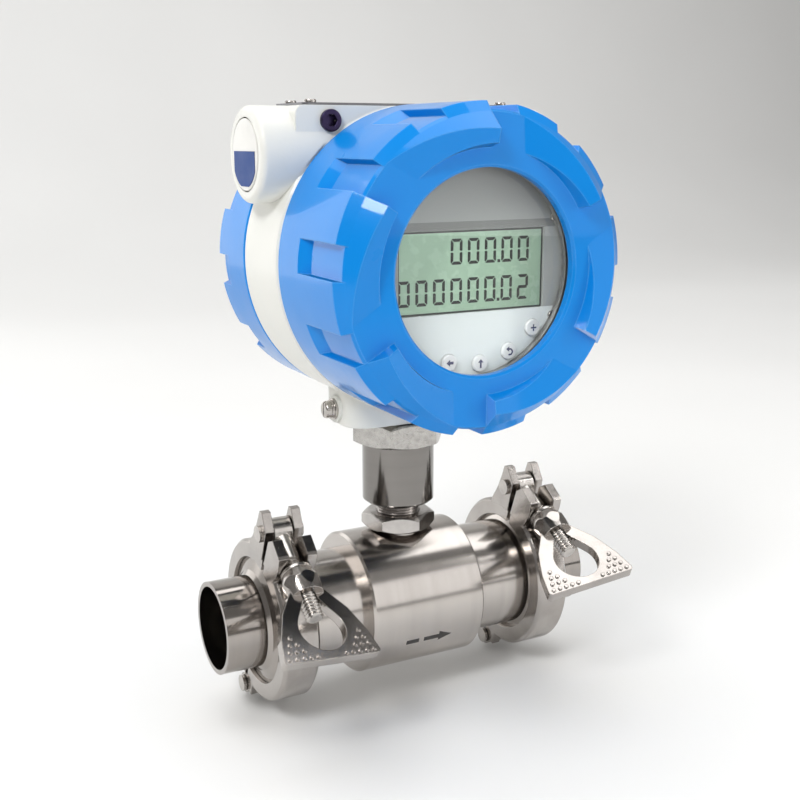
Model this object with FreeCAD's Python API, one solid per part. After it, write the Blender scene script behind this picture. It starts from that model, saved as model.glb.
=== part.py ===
"""Turbine flow meter with clamped pipe ends and a two-cover display housing.

Millimetres.  The pipe runs along X, +Z is up and the display looks towards -Y.  Everything is
modelled about the centre of the flow body, and placed at the end so that the origin is the
centre of the inlet tube's open end, with flow towards +X.
"""
import FreeCAD, Part
import math
import os

from FreeCAD import Placement, Rotation, Vector

os.makedirs("parts", exist_ok=True)

# ---------------------------------------------------------------- driving dimensions
# pipe section
tube_r = 15.9               # outside of the pipe stub
tube_wall = 1.65
gasket_plane = 50.0         # from the body's centre to the middle of each clamp gasket
gasket_thickness = 1.6
ferrule_length = 20.7
flange_r = 25.25
flange_rim = 2.85           # width of the flange's outer rim
flange_taper = 20.0         # degrees, back of the flange
ferrule_root_r = 17.6       # where the flange's back runs into the stub
neck_r = 19.95              # of the flow body, between its barrel and its flanges
barrel_r = 25.3
barrel_half = 22.0
edge_break = 0.8

# turbine
rotor_hub_r = 6.0
rotor_length = 14.0
blade_count = 8
blade_thickness = 1.0
blade_angle = 34.0          # degrees from the pipe axis
blade_gap = 0.6             # between blade tip and bore
shaft_r = 1.5
shaft_clearance = 0.03
bush_r = 3.0
bush_length = 5.0
rotor_end_gap = 0.5
guide_length = 31.0
guide_nose = 11.0
vane_count = 4
vane_thickness = 1.4
slip_clearance = 0.05
ring_width = 1.2            # internal retaining ring
ring_height = 2.2
ring_groove_depth = 0.8

# pickup and stem
pickup_r = 7.9              # M16 fine thread
pickup_floor = 1.6          # wall left between the pickup and the bore
pickup_wall = 1.5
pickup_thread_pitch = 1.0
thread_depth = 0.55
pickup_tip = 1.0
coil_r = 5.4
coil_length = 14.0
magnet_r = 2.4
magnet_length = 16.0
pickup_grip = 16.1          # length of the pickup inside the sleeve
lead_rise = 8.0             # of the leads into the housing
lock_nut_flats = 23.0
lock_nut_height = 6.2
lock_nut_turn = 37.0        # degrees, where the nut stopped
lock_nut_bevel = 2.0
lock_nut_gap = 0.3          # above the top of the barrel
thread_show = 4.1           # bare thread between the nut and the sleeve
sleeve_r = 12.85
sleeve_length = 21.7
sleeve_bore_r = 10.4
sleeve_floor = 6.0
hex_flats = 29.5
hex_height = 8.6
hex_turn = 54.0
hex_bevel = 1.6
adaptor_thread = 10.0       # length of each threaded end
adaptor_bore_r = 5.0
upper_thread_r = 9.9
thread_clearance = 0.05
seal_height = 0.5
lead_r = 0.7
lead_spacing = 2.4

# display housing, its axis along Y
housing_r = 50.8
housing_half = 14.8         # half the width of the body between the covers
housing_edge = 1.2
collar_step = 5.8           # threaded collar below the housing's radius
collar_length = 12.0
collar_wall = 3.0
bulkhead_front = -12.5
bulkhead_thickness = 3.0
shoulder_step = 7.8         # each end of the flat-topped shoulder, inside the housing's radius
shoulder_inset = 0.8        # the shoulder's top, below the housing's radius
shoulder_drop = 34.0        # height of the shoulder's straight side
shoulder_round = 3.0
entry_boss_r = 15.3
entry_boss_round = 2.0
entry_proud = 4.0           # the cable bosses beyond the housing's radius
entry_seat_r = 11.7         # counterbore at each entry's mouth
entry_seat_depth = 3.0
entry_hole_r = 9.25         # tapping size of M20 x 1.5
entry_thread = 18.0
cable_way_r = 6.5
lead_way_drop = 20.0        # below the housing's axis
cover_relief = 0.3          # room around each cover where the bosses stand wider than the body
foot_half_x = 24.0
foot_half_y = 13.0
foot_round = 8.0
foot_height = 5.7           # below the housing
foot_bite = 2.0             # depth of the foot in the housing's wall

# covers
cover_gap = 0.3             # between body and cover
cover_clearance = 0.15      # collar thread
front_depth = 43.7          # from the rim to the low front face
back_depth = 27.0
land_inset = 0.1            # the lands, below the housing's radius
pocket_depth = 2.4
face_chamfer = 3.1
rim_band = 16.0             # plain band at the cover's open end
pocket_ramp = 5.0
land_count = 12
land_arc = 18.0             # degrees
lug_count = 6
lug_arc = 46.0
lug_height = 5.5
lug_foot_step = 10.3        # all three inside the radius of the cover's face
lug_top_step = 8.8
lug_ridge_step = 5.0
cover_wall = 3.6
cover_bore_step = 0.8       # inside the collar's radius
o_ring_r = 1.1
o_ring_clearance = 0.05
window_seat_step = 6.2      # inside the cover's bore
window_border = 6.5
window_lip = 3.2
glass_thickness = 4.5
retainer_height = 1.6
retainer_width = 5.4

# display module
panel_gap = 1.3             # behind the window's retaining ring
panel_seat = 1.8            # step in the can that takes the panel's edge
panel_thickness = 1.5
can_step = 3.6              # inside the housing's chamber
can_wall = 1.7
can_gap = 0.6               # between the can and the step in the front cover
lcd_width = 52.0
lcd_height = 25.2
lcd_drop = 0.2              # its centre below the housing's axis
lcd_thickness = 2.6
lcd_recess = 0.9            # behind the panel's face
lcd_clearance = 0.15
board_thickness = 1.6
board_gap = 0.4
key_count = 4
key_middle = -74.0          # degrees, middle of the row of keys
key_r = 2.7
key_ring_step = 7.2         # inside the panel's edge
key_pitch = 22.0            # degrees
key_height = 1.0            # proud of the panel
key_flange = 0.6
key_clearance = 0.15
panel_screw_step = 3.0
panel_screw_angle = 28.0
panel_screw_r = 1.5
panel_screw_head = 0.8
panel_screw_length = 6.0
terminal_depth = 8.0        # terminal board in front of the back collar's mouth
terminal_board_step = 7.0   # inside the chamber
terminal_size = (42.0, 10.0, 13.0)
terminal_count = 6
terminal_drop = 20.0        # below the housing's axis
terminal_screw_rise = 2.0
terminal_floor = 3.0
post_r = 3.0
post_step = 4.0             # inside the board's edge
post_count = 3

# small fittings on the housing
nameplate_size = (79.0, 24.0, 0.8)
nameplate_screw_inset = 4.0
small_screw_r = 1.9
small_screw_head = 1.1
small_screw_length = 4.0
lock_screw_r = 3.5
lock_screw_out = 4.2        # its axis beyond the housing's radius
lock_screw_turn = 34.6      # degrees from the top
lock_screw_head = 1.4
lock_screw_length = 7.0
ground_screw_r = 3.0
ground_screw_head = 2.2
ground_screw_length = 7.0
ground_screw_out = 0.6      # its axis below the bottom of the housing
ground_pad_r = 4.8
ground_pad_height = 1.0
washer_r = 3.7
washer_height = 0.9
washer_step = 0.5
plug_head_r = 11.3
plug_head_height = 2.6
plug_seal_height = 0.6
plug_shank_length = 10.0
plug_rim = 0.9              # left around the insert
plug_insert_half = 9.0
plug_insert_top = 1.1       # from the entry's axis
plug_insert_bottom = -9.9
plug_insert_depth = 1.8
plug_insert_proud = 0.2

# clamps
clamp_wall = 3.05           # metal outside the flanges' rims
clamp_width = 12.7
clamp_bite = 3.05           # reach of the lips behind the flanges
clamp_groove_gap = 0.4      # round the flanges' rims
clamp_lip_gap = 0.3         # least room between the lips and the pipe
clamp_fit = 0.12
clamp_split = 1.0           # half the gap between the two halves
clamp_turns = {"inlet": 22.6, "outlet": 16.0}    # degrees of the closure from vertical
wing_turns = {"inlet": -8.6, "outlet": 8.7}      # degrees of each wing nut about its bolt
hinge_step = 3.1            # hinge pin outside the ring
knuckle_r = 3.6
knuckle_half = 2.9          # half the width of the middle knuckle
knuckle_gap = 0.25
hinge_pin_r = 1.9
pin_head_r = 2.9
pin_head_height = 1.1
pin_clearance = 0.05
ear_span = 6.8              # outer face of each ear from the clamp's middle
ear_thickness = 3.2
ear_slot_gap = 0.4
eye_side = 5.0              # bolt pivot beside the clamp's centre
eye_step = 6.7              # and above the ring's top
nut_out = 16.98             # where the nut's boss passes the ring, out from its middle
eye_lift = 12.36            # bolt pivot above the ring there
eye_r = 4.7
bolt_r = 3.0
bolt_length = 35.5
bolt_tilt = 12.0            # degrees towards the pipe
bolt_thread_pitch = 1.25
rear_ear_rise = 8.0         # above the bolt pivot
rear_ear_reach = 9.5
front_ear_rise = 5.3
seat_radius = 17.0          # from the pivot to the front ears' rounded faces
nut_gap = 0.3
nut_washer_height = 1.0
nut_washer_r = 5.4
nut_boss_r = 6.7
nut_face_r = 5.2
nut_flare = 4.0
nut_boss_length = 9.2
nut_bore_clearance = 0.12
wing_bite = 3.0             # the plate's root in the boss
wing_length = 27.3
wing_root = 5.0             # half the plate's width at its root
wing_half = 17.4
wing_thickness = 3.6
wing_corner_r = 1.2
hole_small_r = 3.2
hole_wide_r = 8.2
hole_start = 0.3            # beyond the boss
wing_bar = 3.0              # bar left below the finger hole
dimple_r = 0.7
dimple_height = 0.5
dimple_pitch = 2.5
dimple_rows = (5, 3, 2, 1)   # dots in each row, each side
dimple_inset = 2.4
dimple_shift = 0.9
dimple_edge = 1.5

# ---------------------------------------------------------------- derived sizes
bore_r = tube_r - tube_wall
half_length = gasket_plane + ferrule_length + gasket_thickness / 2
flange_face = gasket_plane - gasket_thickness / 2
taper = math.tan(math.radians(flange_taper))
clamp_r = flange_r + clamp_wall
clamp_lip_r = max(flange_r - clamp_bite, neck_r + clamp_lip_gap, ferrule_root_r + clamp_lip_gap)
hinge_drop = clamp_r + hinge_step
eye_height = max(clamp_r + eye_step, math.sqrt(clamp_r ** 2 - nut_out ** 2) + eye_lift)
rear_ear_top = eye_height + rear_ear_rise
front_ear_top = eye_height + front_ear_rise
guide_outer = rotor_length / 2 + rotor_end_gap + guide_length
barrel_top = barrel_r
pickup_bottom = bore_r + pickup_floor
sleeve_bottom = barrel_top + lock_nut_gap + lock_nut_height + thread_show
sleeve_top = sleeve_bottom + sleeve_length
pickup_top = sleeve_bottom + pickup_grip
hex_top = sleeve_top + hex_height
foot_bottom = hex_top + seal_height
housing_z = foot_bottom + foot_height + housing_r
collar_r = housing_r - collar_step
chamber_r = collar_r - collar_wall
shoulder_half = housing_r - shoulder_step
shoulder_top = housing_r - shoulder_inset
entry_reach = housing_r + entry_proud
land_r = housing_r - land_inset
pocket_r = land_r - pocket_depth
face_r = land_r - face_chamfer
lug_foot_r = face_r - lug_foot_step
lug_top_r = face_r - lug_top_step
lug_ridge_r = face_r - lug_ridge_step
cover_bore_r = collar_r - cover_bore_step
window_seat_r = cover_bore_r - window_seat_step
window_r = window_seat_r - window_border
retainer_r = window_seat_r - retainer_width
can_r = chamber_r - can_step
panel_r = can_r - panel_seat
key_ring_r = panel_r - key_ring_step
panel_screw_ring_r = panel_r - panel_screw_step
terminal_board_r = chamber_r - terminal_board_step
post_ring_r = terminal_board_r - post_step
front_rim = -(housing_half + cover_gap)
back_rim = housing_half + cover_gap
front_face = front_rim - front_depth
glass_front = front_face + window_lip
glass_back = glass_front + glass_thickness
retainer_back = glass_back + retainer_height
panel_front = retainer_back + panel_gap
panel_back = panel_front + panel_thickness
board_front = panel_back + lcd_thickness - panel_thickness + board_gap
bulkhead_back = bulkhead_front + bulkhead_thickness
terminal_back = housing_half + collar_length - terminal_depth
terminal_front = terminal_back - board_thickness
shoulder_z = housing_z + shoulder_top
entry_z = shoulder_z - entry_boss_r
terminal_z = housing_z - terminal_drop
ground_z = housing_z - housing_r - ground_screw_out
ground_face = -foot_half_x - ground_pad_height
shoulder_face = -housing_half + housing_edge
nut_start = seat_radius + nut_gap + nut_washer_height
boss_end = nut_start + nut_boss_length
wing_start = boss_end - wing_bite
wing_end = wing_start + wing_length

X = Vector(1, 0, 0)
Y = Vector(0, 1, 0)
Z = Vector(0, 0, 1)
ORIGIN = Vector(0, 0, 0)


# ---------------------------------------------------------------- helpers
def rod(radius, start, end):
    """A cylinder between two points."""
    start = Vector(*start)
    end = Vector(*end)
    return Part.makeCylinder(radius, (end - start).Length, start, end - start)


def pipe(outer, inner, start, end):
    return rod(outer, start, end).cut(rod(inner, start, end))


def cone(r_start, r_end, start, end):
    start = Vector(*start)
    end = Vector(*end)
    return Part.makeCone(r_start, r_end, (end - start).Length, start, end - start)


def box(low, high):
    size = Vector(*high) - Vector(*low)
    return Part.makeBox(size.x, size.y, size.z, Vector(*low))


def polygon(points):
    return Part.Face(Part.makePolygon([Vector(*p) for p in points] + [Vector(*points[0])]))


def turned(profile, along, centre=(0, 0, 0)):
    """Revolve a closed (axial, radial) profile about an axis through centre."""
    side = Z if along is not Z else X
    points = [Vector(*centre) + along * a + side * r for a, r in profile]
    face = Part.Face(Part.makePolygon(points + [points[0]]))
    return face.revolve(Vector(*centre), along, 360)


def spun(shape, angle, centre=ORIGIN, axis=Z):
    copy = shape.copy()
    copy.rotate(centre, axis, angle)
    return copy


def moved(shape, offset):
    copy = shape.copy()
    copy.translate(Vector(*offset))
    return copy


def mirrored_x(shape):
    return shape.mirror(ORIGIN, X)


def union(shapes):
    return shapes[0].multiFuse(shapes[1:]).removeSplitter() if len(shapes) > 1 else shapes[0]


def hexagon(flats, z0, z1, turn=0.0, bevel=0.0):
    """A hexagonal prism on Z with both faces chamfered to a circle."""
    corner = flats / math.sqrt(3)
    points = [(corner * math.cos(math.radians(60 * k + turn)),
               corner * math.sin(math.radians(60 * k + turn)), z0) for k in range(6)]
    prism = polygon(points).extrude(Vector(0, 0, z1 - z0))
    if not bevel:
        return prism
    inner = flats / 2 - bevel * 0.3
    reach = corner + bevel * 0.3
    limit = turned([(z0, 0), (z0, inner), (z0 + bevel, reach), (z1 - bevel, reach), (z1, inner), (z1, 0)], Z)
    return prism.common(limit)


def rounded_block(half_x, half_y, radius, z0, z1):
    """A block with rounded upright edges."""
    core = box((-half_x + radius, -half_y, z0), (half_x - radius, half_y, z1))
    cross = box((-half_x, -half_y + radius, z0), (half_x, half_y - radius, z1))
    posts = [rod(radius, (sx * (half_x - radius), sy * (half_y - radius), z0),
                 (sx * (half_x - radius), sy * (half_y - radius), z1))
             for sx in (-1, 1) for sy in (-1, 1)]
    return union([core, cross] + posts)


PARTS = {}


def keep(name, shape):
    PARTS[name] = shape


# ---------------------------------------------------------------- pipe section
def flange_profile_end(face, inward):
    """Outline of a clamp flange, from its face back towards the neck radius."""
    rim_back = face - inward * flange_rim
    return [(face, flange_r), (rim_back, flange_r),
            (rim_back - inward * (flange_r - neck_r) * taper, neck_r)]


def flow_body():
    outline = [(-flange_face, bore_r)] + flange_profile_end(-flange_face, -1)
    outline += [(-barrel_half, neck_r), (-barrel_half, barrel_r - edge_break),
                (-barrel_half + edge_break, barrel_r), (barrel_half - edge_break, barrel_r),
                (barrel_half, barrel_r - edge_break), (barrel_half, neck_r)]
    outline += flange_profile_end(flange_face, 1)[::-1] + [(flange_face, bore_r)]
    body = turned(outline, X)
    for side in (-1, 1):
        start = side * guide_outer
        body = body.cut(rod(bore_r + ring_groove_depth, (start, 0, 0), (start + side * ring_width, 0, 0)))
    hole = rod(pickup_r + thread_clearance, (0, 0, pickup_bottom - pickup_tip / 2), (0, 0, barrel_r + 1))
    return body.cut(hole)


def ferrule():
    """The inlet ferrule: a flange that tapers into a plain pipe stub."""
    face = -(gasket_plane + gasket_thickness / 2)
    rim_back = face - flange_rim
    root = rim_back - (flange_r - ferrule_root_r) * taper
    profile = [(face, bore_r), (face, flange_r), (rim_back, flange_r), (root, ferrule_root_r),
               (root - 1.2, tube_r), (-half_length, tube_r), (-half_length, bore_r)]
    return turned(profile, X)


def clamp_gasket():
    low = -flange_face - gasket_thickness
    return pipe(flange_r - edge_break, bore_r, (low, 0, 0), (-flange_face, 0, 0))


keep("flow_body", flow_body())
keep("inlet_ferrule", ferrule())
keep("outlet_ferrule", mirrored_x(ferrule()))
keep("inlet_gasket", clamp_gasket())
keep("outlet_gasket", mirrored_x(clamp_gasket()))


# ---------------------------------------------------------------- turbine cartridge
def rotor():
    half = rotor_length / 2
    hub = turned([(-half, 0), (-half, rotor_hub_r - edge_break), (-half + edge_break, rotor_hub_r),
                  (half - edge_break, rotor_hub_r), (half, rotor_hub_r - edge_break), (half, 0)], X)
    tip = bore_r - blade_gap
    reach = half / math.cos(math.radians(blade_angle))
    blade = box((-reach, -blade_thickness / 2, rotor_hub_r - edge_break),
                (reach, blade_thickness / 2, tip + 1))
    blade.rotate(ORIGIN, Z, blade_angle)
    blade = blade.common(rod(tip, (-half + edge_break, 0, 0), (half - edge_break, 0, 0)))
    blades = [spun(blade, 360.0 * k / blade_count, ORIGIN, X) for k in range(blade_count)]
    return union([hub] + blades).cut(rod(shaft_r, (-half, 0, 0), (half, 0, 0)))


def flow_guide():
    """Upstream flow straightener, whose hub also holds a shaft bush."""
    inner = -(rotor_length / 2 + rotor_end_gap)
    outer = -guide_outer
    nose_back = outer + guide_nose
    nose = [(outer, 0), (outer + guide_nose * 0.15, rotor_hub_r * 0.5),
            (outer + guide_nose * 0.5, rotor_hub_r * 0.87), (nose_back, rotor_hub_r)]
    hub = turned(nose + [(inner, rotor_hub_r), (inner, 0)], X)
    vane = box((nose_back - guide_nose, -vane_thickness / 2, 0), (inner - 2, vane_thickness / 2, bore_r + 1))
    vane = vane.common(rod(bore_r - slip_clearance, (outer, 0, 0), (inner - 2, 0, 0)))
    vanes = [spun(vane, 360.0 * k / vane_count + 45, ORIGIN, X) for k in range(vane_count)]
    guide = union([hub] + vanes)
    return guide.cut(rod(bush_r, (inner - bush_length, 0, 0), (inner, 0, 0)))


def shaft_bushes():
    inner = -(rotor_length / 2 + rotor_end_gap)
    floor = 1.0
    bush = rod(bush_r, (inner - bush_length, 0, 0), (inner, 0, 0))
    bush = bush.cut(rod(shaft_r + shaft_clearance, (inner - bush_length + floor, 0, 0), (inner, 0, 0)))
    return Part.makeCompound([bush, mirrored_x(bush)])


def rotor_shaft():
    reach = rotor_length / 2 + rotor_end_gap + bush_length - 1.0 - shaft_clearance
    return rod(shaft_r, (-reach, 0, 0), (reach, 0, 0))


def retaining_rings():
    outer = -guide_outer - ring_width + slip_clearance
    ring = pipe(bore_r + ring_groove_depth - slip_clearance, bore_r + ring_groove_depth - ring_height,
                (outer, 0, 0), (-guide_outer - slip_clearance, 0, 0))
    gap = box((outer - 1, -3, -bore_r - 3), (-guide_outer + 1, 3, 0))
    ring = ring.cut(gap)
    return Part.makeCompound([ring, mirrored_x(ring)])


keep("inlet_flow_guide", flow_guide())
keep("outlet_flow_guide", mirrored_x(flow_guide()))
keep("turbine_rotor", rotor())
keep("rotor_shaft", rotor_shaft())
keep("shaft_bushes", shaft_bushes())
keep("retaining_rings", retaining_rings())


# ---------------------------------------------------------------- pickup and stem
coil_bottom = pickup_bottom + pickup_tip


def pickup_body():
    body = rod(pickup_r, (0, 0, pickup_bottom), (0, 0, pickup_top))
    level = barrel_top
    while level < sleeve_bottom + pickup_thread_pitch:
        high = level + pickup_thread_pitch
        middle = (level + high) / 2
        groove = turned([(level, pickup_r + 1), (level, pickup_r), (middle, pickup_r - thread_depth),
                         (high, pickup_r), (high, pickup_r + 1)], Z)
        body = body.cut(groove)
        level = high
    cavity_r = pickup_r - pickup_wall
    return body.cut(rod(cavity_r, (0, 0, coil_bottom), (0, 0, pickup_top)))


def pickup_coil():
    return pipe(coil_r, magnet_r + slip_clearance, (0, 0, coil_bottom), (0, 0, coil_bottom + coil_length))


def lock_nut():
    bottom = barrel_top + lock_nut_gap
    nut = hexagon(lock_nut_flats, bottom, bottom + lock_nut_height, lock_nut_turn, lock_nut_bevel)
    return nut.cut(rod(pickup_r + thread_clearance, (0, 0, bottom), (0, 0, bottom + lock_nut_height)))


def amplifier_sleeve():
    sleeve = turned([(sleeve_bottom, 0), (sleeve_bottom, sleeve_r - edge_break),
                     (sleeve_bottom + edge_break, sleeve_r), (sleeve_top, sleeve_r), (sleeve_top, 0)], Z)
    sleeve = sleeve.cut(rod(pickup_r + thread_clearance, (0, 0, sleeve_bottom), (0, 0, sleeve_top)))
    return sleeve.cut(rod(sleeve_bore_r, (0, 0, sleeve_bottom + sleeve_floor), (0, 0, sleeve_top)))


def stem_adaptor():
    """Hexagon with a threaded end down into the sleeve and one up into the housing."""
    head = hexagon(hex_flats, sleeve_top, hex_top, hex_turn, hex_bevel)
    lower = rod(sleeve_bore_r - thread_clearance, (0, 0, sleeve_top - adaptor_thread / 2),
                (0, 0, sleeve_top))
    upper = rod(upper_thread_r, (0, 0, hex_top), (0, 0, hex_top + adaptor_thread))
    adaptor = union([head, lower, upper])
    return adaptor.cut(rod(adaptor_bore_r, (0, 0, 0), (0, 0, housing_z)))


def pickup_leads():
    top = housing_z - chamber_r + lead_rise
    start = coil_bottom + coil_length
    leads = [rod(lead_r, (side * lead_spacing / 2, 0, start), (side * lead_spacing / 2, 0, top))
             for side in (-1, 1)]
    return Part.makeCompound(leads)


keep("pickup_body", pickup_body())
keep("pickup_coil", pickup_coil())
keep("pickup_magnet", rod(magnet_r, (0, 0, coil_bottom), (0, 0, coil_bottom + magnet_length)).cut(
    rod(lead_spacing, (0, 0, coil_bottom + coil_length), (0, 0, coil_bottom + magnet_length))))
keep("lock_nut", lock_nut())
keep("amplifier_sleeve", amplifier_sleeve())
keep("stem_adaptor", stem_adaptor())
keep("stem_seal", pipe(sleeve_r - edge_break, upper_thread_r + thread_clearance, (0, 0, hex_top),
                       (0, 0, foot_bottom)))
keep("pickup_leads", pickup_leads())


# ---------------------------------------------------------------- housing body
def housing_outline():
    """Barrel, shoulder and cable bosses before they are hollowed."""
    edge = housing_edge
    barrel = turned([(-housing_half, 0), (-housing_half, housing_r - edge),
                     (-housing_half + edge, housing_r),
                     (housing_half - edge, housing_r), (housing_half, housing_r - edge), (housing_half, 0)],
                    Y, (0, 0, housing_z))
    above = box((-housing_r, -housing_half, shoulder_z),
                (housing_r, housing_half, housing_z + housing_r + 1))
    barrel = barrel.cut(above)
    low = shoulder_z - shoulder_drop
    block = box((-shoulder_half, -housing_half + edge, low),
                (shoulder_half, housing_half - edge, shoulder_z))
    ends = [e for e in block.Edges if abs(e.CenterOfMass.z - shoulder_z) < 1e-6
            and abs(abs(e.CenterOfMass.x) - shoulder_half) < 1e-6]
    block = block.makeFillet(shoulder_round, ends)
    boss = rod(entry_boss_r, (-entry_reach, 0, entry_z), (entry_reach, 0, entry_z))
    rims = [e for e in boss.Edges if abs(abs(e.CenterOfMass.x) - entry_reach) < 1e-6]
    boss = boss.makeFillet(entry_boss_round, rims)
    for side in (-1, 1):
        boss = boss.cut(rod(land_r + cover_relief, (0, side * housing_half, housing_z),
                            (0, side * (housing_half + entry_boss_r), housing_z)))
    foot = rounded_block(foot_half_x, foot_half_y, foot_round, foot_bottom,
                         housing_z - chamber_r - foot_bite)
    return union([barrel, block, foot, boss])


def housing_body():
    body = housing_outline()
    end = housing_half + collar_length
    body = body.fuse(rod(collar_r, (0, -end, housing_z), (0, end, housing_z)))
    body = body.cut(rod(chamber_r, (0, -end, housing_z), (0, bulkhead_front, housing_z)))
    body = body.cut(rod(chamber_r, (0, bulkhead_back, housing_z), (0, end, housing_z)))
    for side in (-1, 1):
        seat = side * (entry_reach - entry_seat_depth)
        body = body.cut(rod(entry_seat_r, (seat, 0, entry_z), (side * entry_reach, 0, entry_z)))
        body = body.cut(rod(entry_hole_r, (seat - side * entry_thread, 0, entry_z), (seat, 0, entry_z)))
        body = body.cut(rod(cable_way_r, (0, 0, entry_z), (seat, 0, entry_z)))
    thread_top = foot_bottom + adaptor_thread
    body = body.cut(rod(upper_thread_r + thread_clearance, (0, 0, foot_bottom), (0, 0, thread_top)))
    body = body.cut(rod(adaptor_bore_r, (0, 0, foot_bottom), (0, 0, housing_z - chamber_r + lead_rise)))
    pad = rod(ground_pad_r, (ground_face, 0, ground_z), (-foot_half_x + foot_round, 0, ground_z))
    body = body.fuse(pad)
    lead_z = housing_z - lead_way_drop
    lead_way = rod(adaptor_bore_r, (0, bulkhead_front, lead_z), (0, bulkhead_back, lead_z))
    body = body.cut(lead_way)
    for dx, dy in nameplate_holes():
        body = body.cut(rod(small_screw_r * 0.6, (dx, dy, shoulder_z - small_screw_length),
                            (dx, dy, shoulder_z)))
    x, z = lock_screw_place()
    body = body.cut(rod(lock_screw_r * 0.6, (x, shoulder_face, z),
                        (x, shoulder_face + lock_screw_length + 1, z)))
    screw = rod(ground_screw_r * 0.55, (ground_face, 0, ground_z),
                (ground_face + ground_screw_length, 0, ground_z))
    return body.cut(screw).removeSplitter()


def lock_screw_place():
    turn = math.radians(lock_screw_turn)
    ring = housing_r + lock_screw_out
    return -ring * math.sin(turn), housing_z + ring * math.cos(turn)


def nameplate_holes():
    half_x = nameplate_size[0] / 2 - nameplate_screw_inset
    half_y = nameplate_size[1] / 2 - nameplate_screw_inset
    return [(sx * half_x, sy * half_y) for sx in (-1, 1) for sy in (-1, 1)]


keep("housing_body", housing_body())


# ---------------------------------------------------------------- covers
def lug(height):
    """One raised gripping lug on a cover's end, on +Z, modelled facing -Y about the axis Y.

    It climbs from its start to a steep radial end, behind a ridge that follows the rim."""
    start = math.radians(90 + lug_arc)
    foot = math.radians(90 + lug_arc - 5)
    start_point = Vector(face_r * math.cos(start), 0, face_r * math.sin(start))
    foot_point = Vector(lug_foot_r * math.cos(foot), 0, lug_foot_r * math.sin(foot))
    line = (foot_point - start_point).normalize()
    across = Vector(-line.z, 0, line.x)
    ridge_end = Vector(0, 0, lug_ridge_r)
    rise = height / abs((ridge_end - start_point).dot(across))
    sign = 1 if (ridge_end - start_point).dot(across) > 0 else -1
    far = 70.0
    near_a = start_point - line * far
    near_b = start_point + line * far
    out_a = near_a + across * (sign * far)
    out_b = near_b + across * (sign * far)
    lift = Vector(0, -rise * far, 0)
    side = Part.Face(Part.makePolygon([near_a, out_a, out_a + lift, near_a]))
    ramp = side.extrude(near_b - near_a)
    blank = turned([(0, lug_foot_r),
                    (-height - 1, lug_foot_r + (lug_top_r - lug_foot_r) * (height + 1) / height),
                    (-height - 1, lug_ridge_r - (face_r - lug_ridge_r) / height), (0, face_r)], Y)
    wedge = polygon([(0, -height - 2, 0), (0, -height - 2, far),
                     (-far * math.sin(math.radians(lug_arc)), -height - 2,
                      far * math.cos(math.radians(lug_arc)))])
    return ramp.common(blank).common(wedge.extrude(Vector(0, height + 2, 0)))


def cover_shell(depth):
    """A cover's outside, opening at y=0 and reaching to y=-depth, with lands, pockets and lugs."""
    chamfer = 2.6
    core = turned([(0, 0), (0, land_r - 0.6), (-0.6, land_r), (-rim_band, land_r),
                   (-rim_band - pocket_ramp, pocket_r), (-depth + 1.2, pocket_r), (-depth, face_r),
                   (-depth, 0)], Y)
    band = turned([(-rim_band + 1, pocket_r - 2), (-rim_band + 1, land_r), (-depth + chamfer, land_r),
                   (-depth, face_r), (-depth, pocket_r - 2)], Y)
    reach = land_r + 5
    half = land_arc / 2
    tip = reach / math.cos(math.radians(half))
    sector = polygon([(0, -depth, 0), (-tip * math.sin(math.radians(half)), -depth, reach),
                      (tip * math.sin(math.radians(half)), -depth, reach)])
    sector = sector.extrude(Vector(0, depth, 0))
    land = band.common(sector)
    pitch = 360.0 / land_count
    lands = [spun(land, -(half + pitch * k), ORIGIN, Y) for k in range(land_count)]
    one_lug = moved(lug(lug_height), (0, -depth, 0))
    lugs = [spun(one_lug, -360.0 / lug_count * k, ORIGIN, Y) for k in range(lug_count)]
    return union([core] + lands + lugs)


def cover_socket(shell):
    """Cut the O-ring seat and the threaded mouth that take the housing's collar."""
    seat_r = collar_r + o_ring_clearance + 2 * o_ring_r + o_ring_clearance
    shell = shell.cut(rod(seat_r, (0, 0, 0), (0, -2 * o_ring_r - cover_gap, 0)))
    return shell.cut(rod(collar_r + cover_clearance, (0, 0, 0), (0, -collar_length - 1, 0)))


def front_cover():
    depth = front_depth
    shell = cover_socket(cover_shell(depth))
    ring_depth = front_rim - retainer_back
    shell = shell.cut(rod(cover_bore_r, (0, 0, 0), (0, -ring_depth + can_gap, 0)))
    shell = shell.cut(rod(window_seat_r, (0, 0, 0), (0, -depth + window_lip, 0)))
    shell = shell.cut(rod(window_r, (0, 0, 0), (0, -depth - lug_height - 1, 0)))
    bevel = cone(window_r, window_r + edge_break, (0, -depth + edge_break, 0), (0, -depth, 0))
    return moved(shell.cut(bevel), (0, front_rim, housing_z))


def back_cover():
    shell = cover_socket(cover_shell(back_depth))
    shell = shell.cut(rod(cover_bore_r, (0, 0, 0), (0, -back_depth + cover_wall, 0)))
    return moved(spun(shell, 180, ORIGIN, Z), (0, back_rim, housing_z))


def cover_o_ring():
    centre_r = collar_r + o_ring_clearance + o_ring_r
    centre_y = -housing_half - cover_gap / 2 - o_ring_r
    return Part.makeTorus(centre_r, o_ring_r, Vector(0, centre_y, housing_z), Y)


keep("front_cover", front_cover())
keep("back_cover", back_cover())
keep("front_cover_o_ring", cover_o_ring())
keep("back_cover_o_ring", cover_o_ring().mirror(ORIGIN, Y))


# ---------------------------------------------------------------- window and display
def ring_y(outer, inner, y0, y1):
    return pipe(outer, inner, (0, y0, housing_z), (0, y1, housing_z))


keep("window_glass", rod(window_seat_r - slip_clearance, (0, glass_front, housing_z),
                         (0, glass_back, housing_z)))
keep("window_retaining_ring", ring_y(window_seat_r - slip_clearance, retainer_r, glass_back, retainer_back))


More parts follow.
